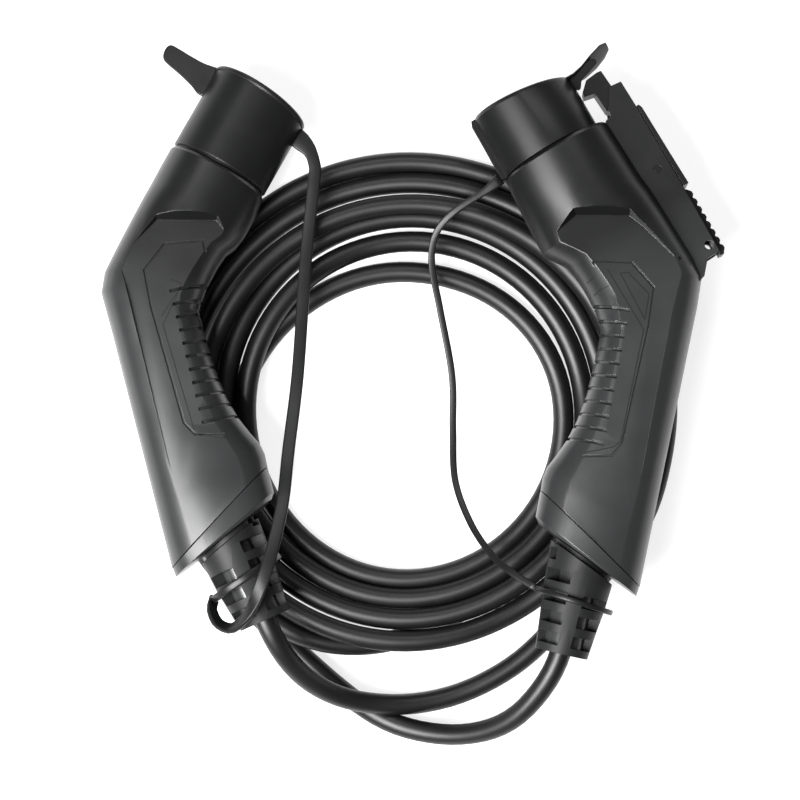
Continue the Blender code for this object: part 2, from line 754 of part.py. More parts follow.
def nose_two(parent):
    nose("type2", NOSE2_R, NOSE2_BORE_R, NOSE2_FRONT, -10.6, 21.5, parent)
    ways = (
        ("pe", 0.0, 0.0, 3.6, 3.0),
        ("l1", 0.0, -8.0, 3.6, 3.0),
        ("n", 0.0, 8.0, 3.6, 3.0),
        ("pp", 7.6, -5.2, 2.2, 1.7),
        ("cp", 7.6, 5.2, 2.2, 1.7),
    )
    carrier("type2", 16.6, 18.0, 24.0, -12.0, ways, parent)


def connector(kind, root):
    spec = SPEC[kind]
    frame = bpy.data.objects.new(f"{kind}_frame", None)
    GROUPS["ev_charging_cable"].objects.link(frame)
    frame.parent = root
    frame.matrix_local = frame_matrix(spec)
    bpy.context.view_layer.update()
    halves = housing(kind, spec, frame)
    lower, side = halves["lower"]
    housing_screws(kind, spec, lower, side, frame)
    collar(kind, spec, frame)
    boot(kind, spec, frame)
    clamp(kind, spec, frame)
    if kind == "type1":
        latch(spec, halves, frame)
        nose_one(frame)
        cap_one(frame)
    else:
        nose_two(frame)
        cap_two(frame)
    return frame


def frame_matrix(spec):
    t = math.radians(spec["turn"])
    d = math.radians(spec["droop"])
    out = Vector((math.cos(t), math.sin(t), 0.0))
    ahead = Vector((-math.sin(t), math.cos(t), 0.0))
    if spec["flip"]:
        out = -out
    ahead = ahead * math.cos(d) + Vector((0.0, 0.0, -math.sin(d)))
    up = out.cross(ahead)
    turn = Matrix((out, ahead, up)).transposed().to_4x4()
    return Matrix.Translation(Vector(spec["place"]) * MM) @ turn


def world(spec, x, y, z=0.0):
    return frame_matrix(spec) @ (Vector((x, y, z)) * MM) / MM


def polar(radius, degrees, height):
    a = math.radians(degrees)
    x = COIL_CENTRE[0] + radius * math.cos(a)
    y = COIL_CENTRE[1] + radius * math.sin(a)
    return Vector((x, y, height))


def smooth_path(knots, spacing):
    """Points at about even spacing on a Catmull-Rom curve through the knots."""
    knots = [Vector(k) for k in knots]
    ends = [knots[0] * 2 - knots[1]] + knots + [knots[-1] * 2 - knots[-2]]
    fine = []
    for k in range(1, len(ends) - 2):
        p0, p1, p2, p3 = ends[k - 1 : k + 3]
        for j in range(16):
            t = j / 16
            a = p1 * 2
            b = (p2 - p0) * t
            c = (p0 * 2 - p1 * 5 + p2 * 4 - p3) * t * t
            d = (p1 * 3 - p0 - p2 * 3 + p3) * t * t * t
            fine.append((a + b + c + d) / 2)
    fine.append(knots[-1])
    lengths = [0.0]
    for a, b in zip(fine, fine[1:]):
        lengths.append(lengths[-1] + (b - a).length)
    count = max(2, round(lengths[-1] / spacing))
    result, k = [], 0
    for n in range(count + 1):
        want = lengths[-1] * n / count
        while k < len(fine) - 2 and lengths[k + 1] < want:
            k += 1
        span = max(1e-9, lengths[k + 1] - lengths[k])
        result.append(fine[k].lerp(fine[k + 1], min(1.0, (want - lengths[k]) / span)))
    return result


def coil(root):
    """The coiled turns as one solid: one layer high under the handles, two at top and bottom."""
    rings = []
    count = 44
    for k in range(count):
        a = 360.0 * k / count
        s = math.sin(math.radians(a))
        inner = COIL_INNER_R - COIL_INNER_LEAN * s
        rise = max(0.0, min(1.0, (abs(s) - 0.8) / 0.15))
        top = COIL_ONE_LAYER + (COIL_TWO_LAYERS - COIL_ONE_LAYER) * rise * rise * (3 - 2 * rise)
        edge = COIL_ONE_LAYER
        outer = COIL_OUTER_R + COIL_OUTER_LEAN * s
        rings.append(
            [
                polar(inner, a, 1.5),
                polar(inner + 2.0, a, 0.0),
                polar(outer - 2.0, a, 0.0),
                polar(outer, a, 1.5),
                polar(outer, a, edge - 1.5),
                polar(outer - 4.0, a, edge),
                polar(outer - 14.0, a, top),
                polar(inner + 14.0, a, top + 0.01),
                polar(inner + 4.0, a, edge),
                polar(inner, a, edge - 1.5),
            ]
        )
    size = len(rings[0])
    points = [p for ring in rings for p in ring]
    faces = []
    for k in range(count):
        nxt = (k + 1) % count
        for i in range(size):
            j = (i + 1) % size
            faces.append((k * size + i, k * size + j, nxt * size + j, nxt * size + i))
    return add("cable_coil", mesh_from("cable_coil", points, faces), "cable", root)


def tails(root):
    """The two stretches of cable between the coil and the connectors."""
    low = CABLE_R + 0.2
    beside = COIL_OUTER_R + CABLE_R + 0.5
    routes = {
        "type2": [
            polar(beside, 330.0, low),
            polar(beside, 317.0, low),
            Vector((70.9, -122.9, low)),
            Vector((51.0, -138.2, low)),
            Vector((25.5, -149.9, low + 0.5)),
            Vector((0.0, -153.9, 10.0)),
            Vector((-25.2, -151.6, 20.0)),
            Vector((-37.5, -145.1, 27.5)),
            Vector((-49.5, -134.6, 38.0)),
            Vector((-58.0, -119.5, 50.0)),
        ],
        "type1": [
            polar(beside - 1.0, 224.0, low),
            polar(beside - 1.0, 236.0, low),
            Vector((-50.5, -126.5, low)),
            Vector((-34.2, -146.9, low)),
            Vector((-17.3, -163.2, low)),
            Vector((2.0, -168.2, 9.5)),
            Vector((28.1, -166.3, 22.0)),
            Vector((50.9, -157.2, 39.0)),
        ],
    }
    for kind, knots in routes.items():
        spec = SPEC[kind]
        inside = world(spec, *boot_point(spec, -44.0, 0.0))
        mouth = world(spec, *boot_point(spec, spec["boot_end"] + 1.0, 0.0))
        beyond = world(spec, *boot_point(spec, spec["boot_end"] + 6.0, 0.0))
        points = smooth_path([*knots, beyond, mouth], 13.0)[:-1]
        points += [mouth, mouth.lerp(inside, 0.33), mouth.lerp(inside, 0.66), inside]
        tube(f"cable_to_{kind}", points, CABLE_R, "cable", root, 3)


def ring_point(spec, along, across):
    """A point of the strap's ring: along its axis and across it, towards the grip."""
    middle, tilt = spec["ring"]
    tilt = math.radians(tilt)
    a = middle + along * math.cos(tilt) - across * math.sin(tilt)
    return boot_point(spec, a, along * math.sin(tilt) + across * math.cos(tilt))


def strap_ring(kind, spec, thick, high, parent):
    """The ring that holds a strap on its boot, tilted like the photo's."""
    low = Vector((*ring_point(spec, -high / 2, 0.0), 0.0))
    axis = Vector((*ring_point(spec, high / 2, 0.0), 0.0)) - low
    axis.normalize()
    name = f"{kind}_strap_ring"
    ring = rod(name, RING_R + thick, high, None, parent, low, axis, 28)
    boolean(ring, rod(f"{name}_bore", RING_R, 20.0, None, parent, low - axis * 8, axis, 28))
    return ring


def straps(root, frames):
    """The flexible straps that tie each cap to its boot."""
    routes = {
        "type1": (
            1.1,
            (-28.65, 1.6),
            [
                (43.1, 104.3, 34.0),
                (26.5, 93.4, 31.0),
                (17.7, 82.4, 28.0),
                (16.0, 67.6, 25.0),
                (20.0, 45.8, 24.0),
                (26.1, 12.5, 24.0),
                (26.6, -15.0, 24.0),
                (27.6, -40.1, 26.5),
                (35.0, -61.0, 32.0),
                (45.0, -76.0, 40.0),
                (54.5, -84.4, 46.0),
            ],
            2.2,
            2.6,
            1.0,
        ),
        "type2": (
            1.8,
            (-29.0, 41.8),
            [
                (-43.9, 123.8, 29.0),
                (-43.5, 109.9, 28.0),
                (-47.0, 70.1, 29.0),
                (-50.6, 14.0, 36.0),
                (-54.6, -25.0, 50.0),
                (-56.6, -48.4, 62.0),
                (-61.1, -71.2, 71.5),
                (-65.6, -86.2, 75.0),
                (-70.9, -99.6, 74.0),
                (-75.4, -105.6, 71.5),
                (-81.4, -109.9, 67.0),
                (-88.0, -107.9, 62.0),
                (-91.2, -102.0, 58.5),
            ],
            2.2,
            3.6,
            -1.0,
        ),
    }
    for kind, (radius, first, knots, thick, high, side) in routes.items():
        spec = SPEC[kind]
        last = ring_point(spec, 0.0, side * (RING_R + thick / 2))
        path = [world(spec, *first)] + [Vector(k) for k in knots] + [world(spec, *last)]
        strap = tube(f"{kind}_cap_strap", smooth_path(path, 12.0 if kind == "type1" else 6.5), radius, "rubber", root, 1)
        boolean(strap, strap_ring(kind, spec, thick, high, frames[kind]), "UNION")


def centre_on_floor(root):
    """Moves the whole object so that its box, less the cable, stands centred on Z = 0."""
    bpy.context.view_layer.update()
    graph = bpy.context.evaluated_depsgraph_get()
    low = Vector((1e9, 1e9, 1e9))
    high = -low
    for obj in GROUPS["ev_charging_cable"].objects:
        if obj.type != "MESH" or obj.name.startswith("cable_"):
            continue
        evaluated = obj.evaluated_get(graph)
        mesh = evaluated.to_mesh()
        for vertex in mesh.vertices:
            p = evaluated.matrix_world @ vertex.co
            for i in range(3):
                low[i] = min(low[i], p[i])
                high[i] = max(high[i], p[i])
        evaluated.to_mesh_clear()
    root.location = (-(low.x + high.x) / 2, -(low.y + high.y) / 2, -low.z)


def main():
    root = bpy.data.objects.new("object_root", None)
    GROUPS["ev_charging_cable"].objects.link(root)
    frames = {kind: connector(kind, root) for kind in SPEC}
    coil(root)
    tails(root)
    straps(root, frames)
    centre_on_floor(root)


main()
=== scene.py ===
"""Charging cable lying coiled on a white surface, seen from straight above.

Places are in millimetres in the layout's own frame, whose origin is under the camera.
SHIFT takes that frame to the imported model's frame.
"""

import json
import math

import bpy
import numpy as np
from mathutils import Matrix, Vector
from mathutils.bvhtree import BVHTree

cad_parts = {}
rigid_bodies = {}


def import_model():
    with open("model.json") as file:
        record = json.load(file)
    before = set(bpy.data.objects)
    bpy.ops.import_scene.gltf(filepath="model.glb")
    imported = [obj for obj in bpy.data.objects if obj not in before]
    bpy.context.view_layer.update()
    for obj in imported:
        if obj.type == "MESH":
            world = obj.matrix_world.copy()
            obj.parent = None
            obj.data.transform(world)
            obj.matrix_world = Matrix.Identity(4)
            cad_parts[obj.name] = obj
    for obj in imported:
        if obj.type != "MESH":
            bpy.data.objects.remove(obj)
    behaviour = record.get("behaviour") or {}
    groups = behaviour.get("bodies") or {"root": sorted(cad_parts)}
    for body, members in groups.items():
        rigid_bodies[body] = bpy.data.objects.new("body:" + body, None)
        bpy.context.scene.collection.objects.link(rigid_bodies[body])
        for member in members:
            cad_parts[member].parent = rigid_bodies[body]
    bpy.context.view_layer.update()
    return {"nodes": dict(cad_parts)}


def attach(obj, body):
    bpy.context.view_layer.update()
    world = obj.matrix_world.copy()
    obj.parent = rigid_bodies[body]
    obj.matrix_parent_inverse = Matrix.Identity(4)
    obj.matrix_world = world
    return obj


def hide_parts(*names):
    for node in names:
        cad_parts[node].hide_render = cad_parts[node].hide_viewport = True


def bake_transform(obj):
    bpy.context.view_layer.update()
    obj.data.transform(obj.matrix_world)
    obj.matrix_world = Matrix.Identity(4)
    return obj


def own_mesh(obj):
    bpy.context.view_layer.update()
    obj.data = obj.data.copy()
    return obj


for leftover in list(bpy.data.objects):
    bpy.data.objects.remove(leftover)

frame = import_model()

MM = 0.001
SHIFT = Vector((-6.1439, -25.368, -0.0618))

# Camera, softboxes (name, place, width, height and watts), floor and surround
CAMERA_HEIGHT = 1100.0
LENS = 96.57
SOFTBOXES = (
    ("key", (-560.0, -350.0, 1000.0), 500.0, 820.0, 55.0),
    ("top", (-60.0, 880.0, 1040.0), 1000.0, 300.0, 6.0),
)
FLOOR_HALF = 3000.0
FLOOR_HEIGHT = 0.05
FLOOR_GREY = 0.35
FLOOR_GLOW = 0.78
SURROUND = 0.2

# Cable: the height of its axis on the floor and over another turn, the spacing of its
# points and the radius by which that spacing is turned into degrees
CABLE_R = 5.3
LOW = CABLE_R + 0.2
LAID_PITCH = 10.5
COIL_CENTRE = (2.6, -2.6)
STEP = 6.0
MEAN_COIL_R = 105.0

# Degrees along the coil's line: points nearer than SAME_TURN are one turn, and
# TAIL_ANGLE stands for a tail. JOIN is how many points of each coil end the tails take.
SAME_TURN = 25.0
TAIL_ANGLE = 2100.0
JOIN = 10

# Where the axis of each strain relief starts, down the grip's back line and in from it
BOOT_S = 139.0
BOOT_W = 32.2

# The straps' rings round the strain reliefs, and the points along the straps
RING_R = 17.8
RING_THICK = 2.2
RING_MIDDLE_R = RING_R + RING_THICK / 2
STRAP_STEP = 3.0

# Each connector: the front of its head on its axis, its turn and droop in degrees, the
# grip's bend and its corner, the lean and length of the strain relief, and the place
# and tilt of the strap's ring
SPEC = {
    "type1": {
        "place": (75.6, 122.6, 34.7),
        "turn": 29.5,
        "droop": 5.0,
        "flip": False,
        "bend": 40.5,
        "corner": (26.0, -99.4),
        "lean": 2.2,
        "boot_end": 44.0,
        "ring": (17.6, 5.0),
    },
    "type2": {
        "place": (-90.7, 113.5, 31.2),
        "turn": -29.0,
        "droop": 6.4,
        "flip": True,
        "bend": 43.1,
        "corner": (22.6, -78.3),
        "lean": 10.2,
        "boot_end": 41.2,
        "ring": (18.5, 9.5),
    },
}

# The coil's line as angle and radius, from the Type 2 stretch inwards to the Type 1 one
COIL_KNOTS = (
    (-30, 134.1),
    (0, 134.1),
    (72, 124.7),
    (90, 124.0),
    (180, 123.5),
    (225, 126.5),
    (250, 127.5),
    (266, 121.0),
    (287, 108.0),
    (315, 108.5),
    (360, 123.4),
    (422, 115.2),
    (450, 113.5),
    (540, 113.0),
    (630, 119.2),
    (720, 112.8),
    (810, 101.8),
    (900, 102.4),
    (990, 108.6),
    (1080, 102.2),
    (1170, 96.1),
    (1260, 91.7),
    (1350, 98.8),
    (1440, 91.6),
    (1530, 83.8),
    (1620, 80.9),
    (1710, 89.5),
    (1800, 81.0),
    (1890, 68.3),
    (1950, 76.5),
    (1980, 88.0),
    (2005, 109.5),
    (2014, 119.0),
    (2024, 126.8),
    (2036, 131.5),
)

# The order in which the turns were laid down, as angles along the coil's line
LAID_ORDER = ((1800, 2036), (-30, 360), (1440, 1800), (360, 720), (1080, 1440), (720, 1080))

TO_TYPE2 = (
    (70.9, -124.5, 5.5),
    (51.0, -140.0, 5.5),
    (27.5, -151.0, 6.0),
    (1.5, -155.1, 10.0),
    (-15.2, -153.4, 14.0),
    (-27.7, -150.7, 20.0),
    (-38.7, -144.7, 27.5),
    (-49.8, -135.6, 38.0),
    (-60.4, -120.2, 50.0),
)
TO_TYPE1 = (
    (-56.0, -124.8, 5.5),
    (-41.8, -137.9, 5.5),
    (-27.5, -150.1, 5.5),
    (-20.9, -155.0, 5.5),
    (-7.7, -163.5, 7.5),
    (7.6, -167.6, 12.0),
    (22.8, -169.0, 18.5),
    (36.7, -167.1, 26.5),
    (50.0, -162.0, 35.5),
    (62.0, -152.0, 44.5),
)

# Straps: points on the way from the cap to the ring round the strain relief. The first
# starts on the sleeve cap's key rib, the second on the disc cap's rim.
KEY_RIB = (-28.65, 1.6)
DISC_RIM_FOOT = (-53.5, 132.9, 27.0)
STRAP_TYPE1 = (
    (43.1, 104.3, 34.0),
    (26.5, 93.4, 31.0),
    (17.7, 82.5, 27.0),
    (16.0, 67.8, 22.5),
    (20.2, 46.0, 16.5),
    (26.4, 12.6, 11.0),
    (26.9, -15.2, 10.0),
    (27.9, -40.5, 14.0),
    (35.3, -61.5, 23.5),
    (45.2, -76.4, 34.5),
    (54.6, -84.6, 43.5),
)
STRAP_TYPE2 = (
    (-48.5, 128.4, 27.3),
    (-44.7, 123.9, 27.6),
    (-42.7, 117.4, 28.0),
    (-42.8, 109.9, 28.0),
    (-47.0, 70.1, 29.0),
    (-50.6, 14.0, 36.0),
    (-54.6, -25.0, 50.0),
    (-56.6, -48.4, 62.0),
    (-61.1, -71.2, 71.5),
    (-65.6, -86.2, 75.0),
    (-70.9, -99.6, 74.0),
    (-75.4, -105.6, 71.5),
    (-81.4, -109.9, 67.0),
    (-88.0, -107.9, 62.0),
    (-91.2, -102.0, 58.5),
)

# Engraved lines of the grips that the CAD leaves out, as ways across the housing; each is drawn as a
# thin flat dark strip, painted shade for the inside of the groove
ENGRAVED = {
    "type1_housing_upper": (
        ((100.6, 63.3), (117.8, 34.1), (106.2, -19.9), (102.9, -22.6), (89.2, -25.3)),
        ((106.8, 61.5), (110.5, 61.8), (120.5, 51.3), (118.4, 38.9), (106.8, 61.5)),
        ((93.4, 49.5), (97.0, 53.3), (101.7, 55.7)),
        ((88.9, 54.2), (91.6, 57.4), (94.2, 59.3)),
    ),
    "type2_housing_upper": (
        ((-111.7, 58.8), (-105.7, 56.5), (-115.8, 40.5)),
        ((-106.3, 55.6), (-114.9, 36.4), (-98.8, -16.3), (-84.5, -18.4)),
    ),
}
# The small vent beside the latch, drawn as a dark patch of painted shade for the hole
VENT_SHADE_WAY = ((135.3, 68.8), (135.5, 68.6), (135.8, 68.8), (135.5, 69.0), (135.3, 68.8))
VENT_SHADE_WIDTH = 1.4

# The latch's compression spring in the connector's frame
SPRING_TURNS = 4
SPRING_FROM, SPRING_TO = 35.4, 41.9
SPRING_BACK = -58.0
SPRING_R = 2.3
SPRING_WIRE = 0.8

# The disc cap: radius and distance ahead along its sleeve and along its disc's edge,
# and how far the disc sits askew in degrees
DISC_SLEEVE = ((23.95, 39.0), (23.95, 1.3), (25.2, 1.3), (25.6, 1.8), (25.6, 38.8))
DISC_EDGE = (
    (25.7, -1.6),
    (26.2, -1.0),
    (26.3, 0.2),
    (25.8, 0.9),
    (24.6, 1.3),
    (20.0, 1.5),
    (0.0, 1.5),
)
DISC_AHEAD = 42.6
DISC_RISE = 0.2
DISC_YAW = 4.0
DISC_PITCH = 3.0

# Height of the middle and thickness of the two flat pieces of rubber
TAB_HEIGHT, TAB_THICK = 26.9, 2.4
WEB_HEIGHT, WEB_THICK = 39.6, 1.6

# The web between the sleeve cap and its leaf, seen from above
LEAF_WEB = (
    (80.0, 156.0),
    (82.5, 158.4),
    (85.5, 159.6),
    (88.3, 162.4),
    (92.0, 166.6),
    (95.5, 168.6),
    (97.2, 166.6),
    (94.2, 162.8),
    (91.4, 159.8),
    (89.7, 157.6),
    (88.4, 153.0),
)

# The outline of the disc cap's pull tab, seen from above
PULL_TAB = (
    (-86.5, 164.5),
    (-91.9, 166.2),
    (-97.9, 168.3),
    (-104.0, 171.6),
    (-109.9, 175.2),
    (-113.6, 177.2),
    (-115.8, 177.0),
    (-117.6, 174.8),
    (-118.4, 171.6),
    (-117.0, 168.6),
    (-109.9, 162.4),
    (-104.4, 157.0),
    (-100.6, 152.6),
    (-95.5, 152.8),
)

# Looks of the slots: name, colour, roughness, size and depth of the grain, spread of
# the colour, rounding of the edges and specular level
GRIP_LOOK = ((0.014, 0.0144, 0.0147), 0.33, 0.35, 0.012, 0.12, 0.5, 0.4)
LOOKS = {
    "housing_plastic": ("housing", (0.004, 0.0041, 0.0042), 0.34, 0.35, 0.01, 0.12, 0.5, 0.25),
    "nose_plastic": ("nose", (0.004, 0.004, 0.0042), 0.36, 0.3, 0.006, 0.15, 0.4, 0.3),
    "cap_rubber": ("cap", (0.0045, 0.0046, 0.0047), 0.36, 0.3, 0.008, 0.15, 0.5, 0.22),
    "boot_rubber": ("boot", (0.009, 0.0092, 0.0094), 0.48, 0.35, 0.01, 0.2, 0.4, 0.15),
    "cable_jacket": ("cable", (0.0025, 0.0025, 0.0026), 0.42, 0.5, 0.006, 0.2, 0.0, 0.34),
    "insulator_plastic": ("insulator", (0.03, 0.03, 0.031), 0.4, 0.3, 0.006, 0.15, 0.2, 0.5),
    "seal_rubber": ("seal", (0.01, 0.01, 0.0105), 0.5, 0.3, 0.008, 0.15, 0.0, 0.5),
    # painted shade: a near-black look for the flat strips that stand for the shade inside the
    # engraved grooves and the vent
    "groove": ("groove", (0.003, 0.003, 0.003), 0.6, 0.3, 0.002, 0.1, 0.0, 0.2),
    "sleeve": ("sleeve", (0.02, 0.0204, 0.0208), 0.3, 0.5, 0.004, 0.1, 0.0, 0.5),
}
METALS = {
    "contact_metal": ("contact", (0.75, 0.72, 0.66), 0.25),
    "steel": ("steel", (0.55, 0.55, 0.56), 0.3),
}

# Painted shade on the head: where the housing's plastic starts to darken ahead of the grip, over what
# stretch and to what share of its colour
HEAD_SHADE_START = -80.0
HEAD_SHADE_FADE = 30.0
HEAD_SHADE_SHARE = 0.25

# Vertices nearer than this are joined, and edges over this many degrees stay sharp
WELD_REACH = 0.002
SHARP = 28.0


def to_row(point):
    """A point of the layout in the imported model's frame, in metres."""
    return (Vector(point) + SHIFT) * MM


def handle_axes(spec):
    """A connector's own axes: outwards, ahead and up."""
    turn = math.radians(spec["turn"])
    droop = math.radians(spec["droop"])
    out = Vector((math.cos(turn), math.sin(turn), 0.0))
    ahead = Vector((-math.sin(turn), math.cos(turn), 0.0))
    if spec["flip"]:
        out = -out
    ahead = ahead * math.cos(droop) + Vector((0.0, 0.0, -math.sin(droop)))
    return out, ahead, out.cross(ahead)


def on_handle(spec, x, y, z=0.0):
    """A point in a connector's own frame as a point of the layout."""
    out, ahead, up = handle_axes(spec)
    return Vector(spec["place"]) + out * x + ahead * y + up * z


def boot_point(spec, along, across):
    """A point in the strain relief's own directions as a point in the connector's frame."""
    lean = math.radians(spec["lean"])
    bend = math.radians(spec["bend"])
    s = BOOT_S + along * math.cos(lean) - across * math.sin(lean)
    w = BOOT_W + along * math.sin(lean) + across * math.cos(lean)
    x = spec["corner"][0] - s * math.sin(bend) - w * math.cos(bend)
    y = spec["corner"][1] - s * math.cos(bend) + w * math.sin(bend)
    return x, y


def on_boot(spec, along, across=0.0, up=0.0):
    """A point in the strain relief's own directions as a point of the layout."""
    x, y = boot_point(spec, along, across)
    return on_handle(spec, x, y, up)


def ring_point(spec, along, across):
    """A point of the strap's ring, along its axis and across it towards the grip."""
    middle, tilt = spec["ring"]
    tilt = math.radians(tilt)
    a = middle + along * math.cos(tilt) - across * math.sin(tilt)
    return boot_point(spec, a, along * math.sin(tilt) + across * math.cos(tilt))


def catmull_rom(knots, spacing):
    """Points at about even spacing on a smooth curve through the knots."""
    knots = np.array([list(k) for k in knots], float)
    ends = np.vstack((2 * knots[0] - knots[1], knots, 2 * knots[-1] - knots[-2]))
    t = np.linspace(0.0, 1.0, 24, endpoint=False)[:, None]
    fine = []
    for p0, p1, p2, p3 in zip(ends, ends[1:], ends[2:], ends[3:]):
        bend = (2 * p0 - 5 * p1 + 4 * p2 - p3) * t**2 + (3 * p1 - p0 - 3 * p2 + p3) * t**3
        fine.append(p1 + ((p2 - p0) * t + bend) / 2)
    fine = np.vstack((*fine, knots[-1:]))
    return even(fine, spacing)


def even(line, spacing):
    """The same line with its points at even spacing."""
    runs = np.linalg.norm(np.diff(line, axis=0), axis=1)
    reach = np.concatenate(([0.0], np.cumsum(runs)))
    count = max(2, round(reach[-1] / spacing))
    wanted = np.linspace(0.0, reach[-1], count + 1)
    return np.stack([np.interp(wanted, reach, line[:, i]) for i in range(line.shape[1])], 1)


def smoothed(line, reach=3):
    """The line with each point moved to a mean of its neighbours, as a stiff cable lies."""
    window = np.hanning(2 * reach + 3)[1:-1]
    window /= window.sum()
    middle = [np.convolve(line[:, i], window, mode="valid") for i in range(3)]
    return np.vstack((line[:reach], np.stack(middle, 1), line[-reach:]))


def coil_radius(angle):
    """The coil's radius at an angle, smoothly between its knots."""
    angles = np.array([k[0] for k in COIL_KNOTS], float)
    radii = np.array([k[1] for k in COIL_KNOTS], float)
    slopes = np.gradient(radii, angles)
    k = np.clip(np.searchsorted(angles, angle, side="right") - 1, 0, len(angles) - 2)
    width = angles[k + 1] - angles[k]
    t = (angle - angles[k]) / width
    low = radii[k] * (1 + 2 * t) * (1 - t) ** 2 + slopes[k] * width * t * (1 - t) ** 2
    high = radii[k + 1] * t**2 * (3 - 2 * t) + slopes[k + 1] * width * t**2 * (t - 1)
    return low + high


def coil_stretch(first, last):
    """One laid stretch of the coil on the floor, as x, y and angle."""
    degrees = np.arange(first, last, math.degrees(STEP / MEAN_COIL_R))
    radius = coil_radius(degrees)
    way = np.radians(degrees)
    x = COIL_CENTRE[0] + radius * np.cos(way)
    y = COIL_CENTRE[1] + radius * np.sin(way)
    return np.stack((x, y, degrees), 1)


def resting_heights(stretch, laid):
    """How high each point of a stretch lies on what was laid before it."""
    heights = np.full(len(stretch), LOW)
    for i, (x, y, degrees) in enumerate(stretch):
        apart = np.hypot(laid[:, 0] - x, laid[:, 1] - y)
        under = (apart < LAID_PITCH) & (abs(laid[:, 3] - degrees) > SAME_TURN)
        if under.any():
            lift = np.sqrt(LAID_PITCH**2 - apart[under] ** 2)
            heights[i] = max(LOW, (laid[under, 2] + lift).max())
    return heights


def eased(heights, reach=5):
    """Heights that a stiff cable can follow: no lower than those given, and without steps."""
    padded = np.pad(heights, reach, mode="edge")
    highest = [padded[i : i + 2 * reach + 1].max() for i in range(len(heights))]
    padded = np.pad(highest, reach, mode="edge")
    window = np.hanning(2 * reach + 3)[1:-1]
    return np.convolve(padded, window / window.sum(), mode="valid")


def as_tail(points):
    """Points of a tail, with the angle that stands for one."""
    return np.hstack((points, np.full((len(points), 1), TAIL_ANGLE)))


def cable_ends(spec):
    """Points of the cable inside a strain relief, at its mouth and just beyond it."""
    return [on_boot(spec, spec["boot_end"] + along) for along in (-20.0, 1.0, 6.0)]


def laid_coil(under):
    """The coil's turns, each resting on the turns laid before it and on a first tail."""
    laid = [under]
    stretches = {}
    for first, last in LAID_ORDER:
        stretch = coil_stretch(first, last)
        heights = eased(resting_heights(stretch, np.vstack(laid)))
        points = np.column_stack((stretch[:, :2], heights, stretch[:, 2]))
        stretches[first] = points
        laid.append(points)
    return np.vstack([stretches[first] for first in sorted(stretches)])[:, :3]


def cable_route():
    """The whole cable from the Type 2 handle to the Type 1 one, in the layout's frame."""
    inside1, mouth1, beyond1 = cable_ends(SPEC["type1"])
    inside2, mouth2, beyond2 = cable_ends(SPEC["type2"])
    coil = laid_coil(as_tail(catmull_rom([*TO_TYPE1, beyond1, mouth1], STEP)))
    start = catmull_rom([mouth2, beyond2, *reversed(TO_TYPE2), *coil[:JOIN:4]], STEP)
    finish = catmull_rom([*coil[1 - JOIN :: 4], *TO_TYPE1, beyond1, mouth1], STEP)
    line = np.vstack((inside2, start, coil[JOIN:-JOIN], finish, inside1))
    return smoothed(even(line, STEP))


def curve_along(name, points, radius):
    """A round cable as a curve with a bevel."""
    data = bpy.data.curves.new(name, "CURVE")
    data.dimensions = "3D"
    data.bevel_depth = radius * MM
    data.bevel_resolution = 7
    data.use_fill_caps = True
    spline = data.splines.new("POLY")
    spline.points.add(len(points) - 1)
    for target, point in zip(spline.points, points):
        target.co = (*to_row(point), 1.0)
    spline.use_smooth = True
    obj = bpy.data.objects.new(name, data)
    bpy.context.scene.collection.objects.link(obj)
    return obj


def mesh_object(name, points, faces, smooth=True):
    """A mesh from points of the layout and the faces between them."""
    mesh = bpy.data.meshes.new(name)
    mesh.from_pydata([to_row(p) for p in points], [], faces)
    mesh.validate()
    mesh.polygons.foreach_set("use_smooth", [smooth] * len(mesh.polygons))
    mesh.update()
    obj = bpy.data.objects.new(name, mesh)
    bpy.context.scene.collection.objects.link(obj)
    return obj


def join(*parts):
    """Vertices and faces of several shapes as one."""
    vertices, faces = [], []
    for some_vertices, some_faces in parts:
        base = len(vertices)
        vertices += some_vertices
        faces += [tuple(base + i for i in face) for face in some_faces]
    return vertices, faces


def rounded_section(width, thick, corner, steps=3):
    """A rectangle with rounded corners, as across and up pairs."""
    outline = []
    for quarter in range(4):
        sx, sy = ((1, 1), (-1, 1), (-1, -1), (1, -1))[quarter]
        for k in range(steps + 1):
            a = math.radians(90.0 * quarter + 90.0 * k / steps)
            across = sx * (width / 2 - corner) + corner * math.cos(a)
            up = sy * (thick / 2 - corner) + corner * math.sin(a)
            outline.append((across, up))
    return outline


def band(points, ups, widths, thicks, closed=False):
    """A band of changing width along points: its vertices and faces."""
    count = len(points)
    vertices, faces = [], []
    for i, point in enumerate(points):
        before = points[(i - 1) % count if closed else max(0, i - 1)]
        after = points[(i + 1) % count if closed else min(count - 1, i + 1)]
        ahead = (Vector(after) - Vector(before)).normalized()
        across = ahead.cross(Vector(ups[i])).normalized()
        up = across.cross(ahead).normalized()
        corner = min(widths[i], thicks[i]) * 0.3
        for u, v in rounded_section(widths[i], thicks[i], corner):
            vertices.append(Vector(point) + across * u + up * v)
    size = len(vertices) // count
    for i in range(count if closed else count - 1):
        a, b = i * size, ((i + 1) % count) * size
        faces += [(a + k, a + (k + 1) % size, b + (k + 1) % size, b + k) for k in range(size)]
    if not closed:
        faces.append(tuple(reversed(range(size))))
        faces.append(tuple(range((count - 1) * size, count * size)))
    return vertices, faces


def spun(centre, axis, up, profile, steps=72):
    """A profile of radius and distance ahead, spun round an axis."""
    side = axis.cross(up).normalized()
    above = side.cross(axis).normalized()
    points = []
    for radius, along in profile:
        for k in range(steps):
            a = 2 * math.pi * k / steps
            points.append(centre + axis * along + (side * math.cos(a) + above * math.sin(a)) * radius)
    faces = []
    for i in range(len(profile) - 1):
        for k in range(steps):
            a, b = i * steps + k, i * steps + (k + 1) % steps
            faces.append((a, b, b + steps, a + steps))
    return points, faces


